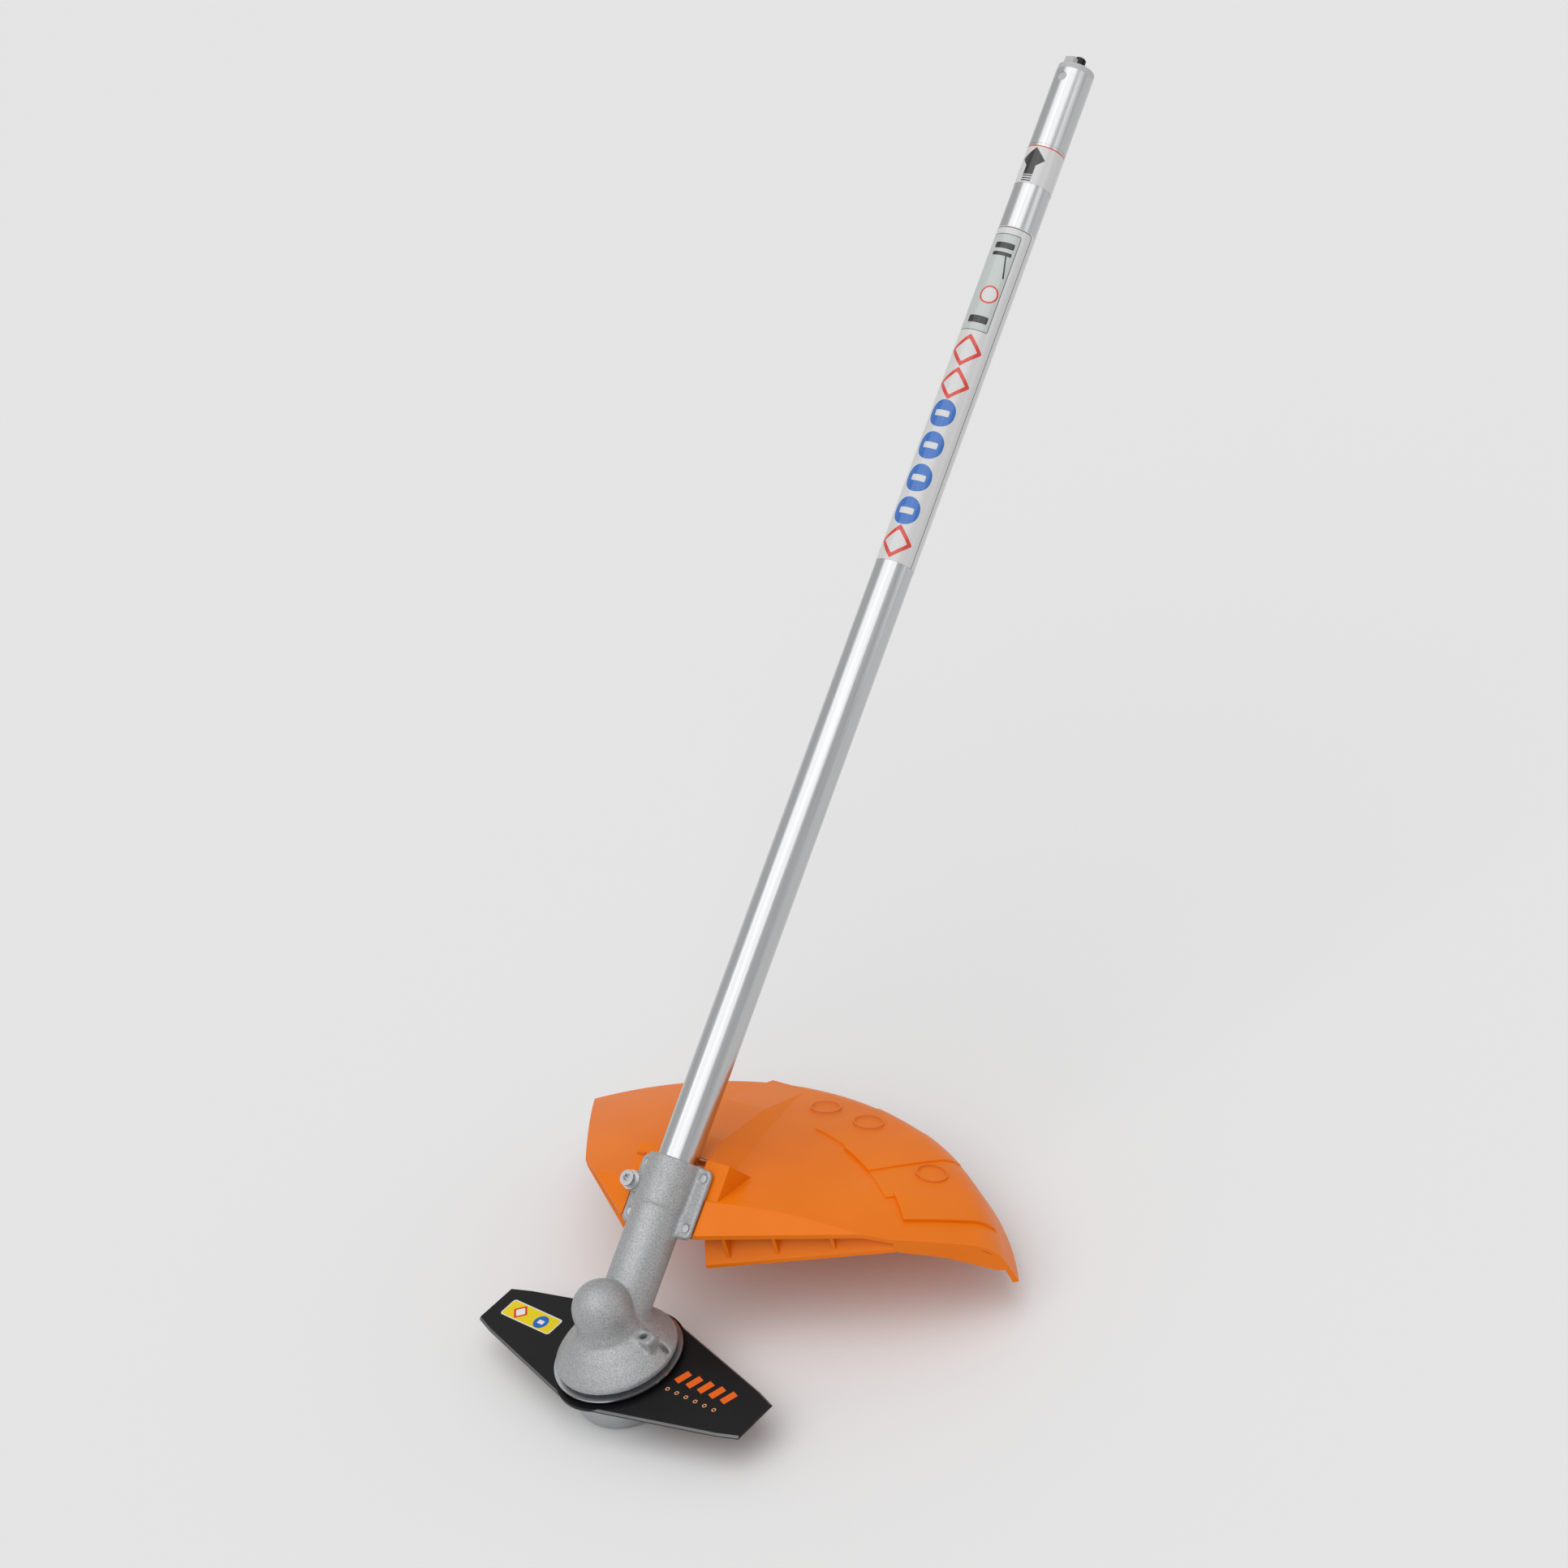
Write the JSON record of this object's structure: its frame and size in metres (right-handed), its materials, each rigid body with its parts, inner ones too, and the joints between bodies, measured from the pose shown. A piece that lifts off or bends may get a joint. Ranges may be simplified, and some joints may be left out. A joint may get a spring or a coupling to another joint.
{
  "type": "brush cutter head",
  "caption": "Brush cutter working head: inclined drive tube and shaft, bevel gearbox, two-tooth grass blade clamped on an arbor, and a moulded half-round guard.",
  "frame": {"origin": "centre of the drive tube's coupling end", "axes": "+Z along the arbor, up from the level blade; +X the way the drive tube rises, 35 degrees above level; +Y to the left of someone holding the tube"},
  "size_m": [0.7716, 0.36, 0.5596],
  "materials": {
    "tube_aluminium": "bright drawn and anodised, fine lengthwise lines",
    "cast_aluminium": "blasted die casting, matt grey",
    "guard_plastic": "moulded orange plastic, satin",
    "blade_steel": "black lacquered spring steel with ground edges",
    "bright_steel": "zinc plated",
    "rider_steel": "pressed and blasted",
    "black_steel": "black oxide",
    "bearing_steel": "polished",
    "gear_steel": "case hardened, oiled",
    "seal_rubber": "matt black",
    "bush_plastic": "grey moulded",
    "label_film": "printed film under clear laminate"
  },
  "bodies": {
    "frame": {"drive_tube": "tube_aluminium", "coupling_end_bush": "bush_plastic", "end_bush_pin": "bush_plastic", "shaft_bush_1": "bush_plastic", "shaft_bush_2": "bush_plastic", "shaft_bush_3": "bush_plastic", "shaft_bush_4": "bush_plastic", "main_label": "label_film", "arrow_label": "label_film", "gearbox_housing": "cast_aluminium", "wrap_guard_ring": "bright_steel", "output_seal": "seal_rubber", "lower_circlip": "black_steel", "pinion_circlip": "black_steel", "clamp_washer": "bright_steel", "clamp_screw": "bright_steel", "guard": "guard_plastic", "guard_screws": "bright_steel", "lower_bearing_outer_ring": "bearing_steel", "upper_bearing_outer_ring": "bearing_steel", "pinion_front_bearing_outer_ring": "bearing_steel", "pinion_rear_bearing_outer_ring": "bearing_steel"},
    "arbor": {"arbor_shaft": "gear_steel", "bevel_gear": "gear_steel", "thrust_plate": "black_steel", "grass_blade": "blade_steel", "thrust_washer": "bright_steel", "rider_plate": "rider_steel", "blade_nut": "bright_steel", "lower_bearing_inner_ring": "bearing_steel", "upper_bearing_inner_ring": "bearing_steel"},
    "drive": {"drive_shaft": "black_steel", "bevel_pinion": "gear_steel", "pinion_spacer": "gear_steel", "pinion_front_bearing_inner_ring": "bearing_steel", "pinion_rear_bearing_inner_ring": "bearing_steel"},
    "lower_balls": {"lower_bearing_balls": "bearing_steel"},
    "upper_balls": {"upper_bearing_balls": "bearing_steel"},
    "pinion_front_balls": {"pinion_front_bearing_balls": "bearing_steel"},
    "pinion_rear_balls": {"pinion_rear_bearing_balls": "bearing_steel"}
  },
  "joints": [
    {"name": "arbor_spin", "type": "hinge", "parent": "frame", "child": "arbor", "pos_m": [-0.71512, 0, -0.51873], "axis": [0, 0, 1], "continuous": true},
    {"name": "drive_spin", "type": "hinge", "parent": "frame", "child": "drive", "pos_m": [-0.71512, 0, -0.50073], "axis": [0.8192, 0, 0.5736], "continuous": true},
    {"name": "lower_balls_spin", "type": "hinge", "parent": "frame", "child": "lower_balls", "pos_m": [-0.71512, 0, -0.51873], "axis": [0, 0, 1], "continuous": true},
    {"name": "upper_balls_spin", "type": "hinge", "parent": "frame", "child": "upper_balls", "pos_m": [-0.71512, 0, -0.51873], "axis": [0, 0, 1], "continuous": true},
    {"name": "pinion_front_balls_spin", "type": "hinge", "parent": "frame", "child": "pinion_front_balls", "pos_m": [-0.71512, 0, -0.50073], "axis": [0.8192, 0, 0.5736], "continuous": true},
    {"name": "pinion_rear_balls_spin", "type": "hinge", "parent": "frame", "child": "pinion_rear_balls", "pos_m": [-0.71512, 0, -0.50073], "axis": [0.8192, 0, 0.5736], "continuous": true}
  ],
  "couplings": [
    {"joint": "drive_spin", "follows": "arbor_spin", "ratio": -1.4},
    {"joint": "lower_balls_spin", "follows": "arbor_spin", "ratio": 0.384},
    {"joint": "upper_balls_spin", "follows": "arbor_spin", "ratio": 0.37111},
    {"joint": "pinion_front_balls_spin", "follows": "arbor_spin", "ratio": -0.54775},
    {"joint": "pinion_rear_balls_spin", "follows": "arbor_spin", "ratio": -0.54775}
  ]
}
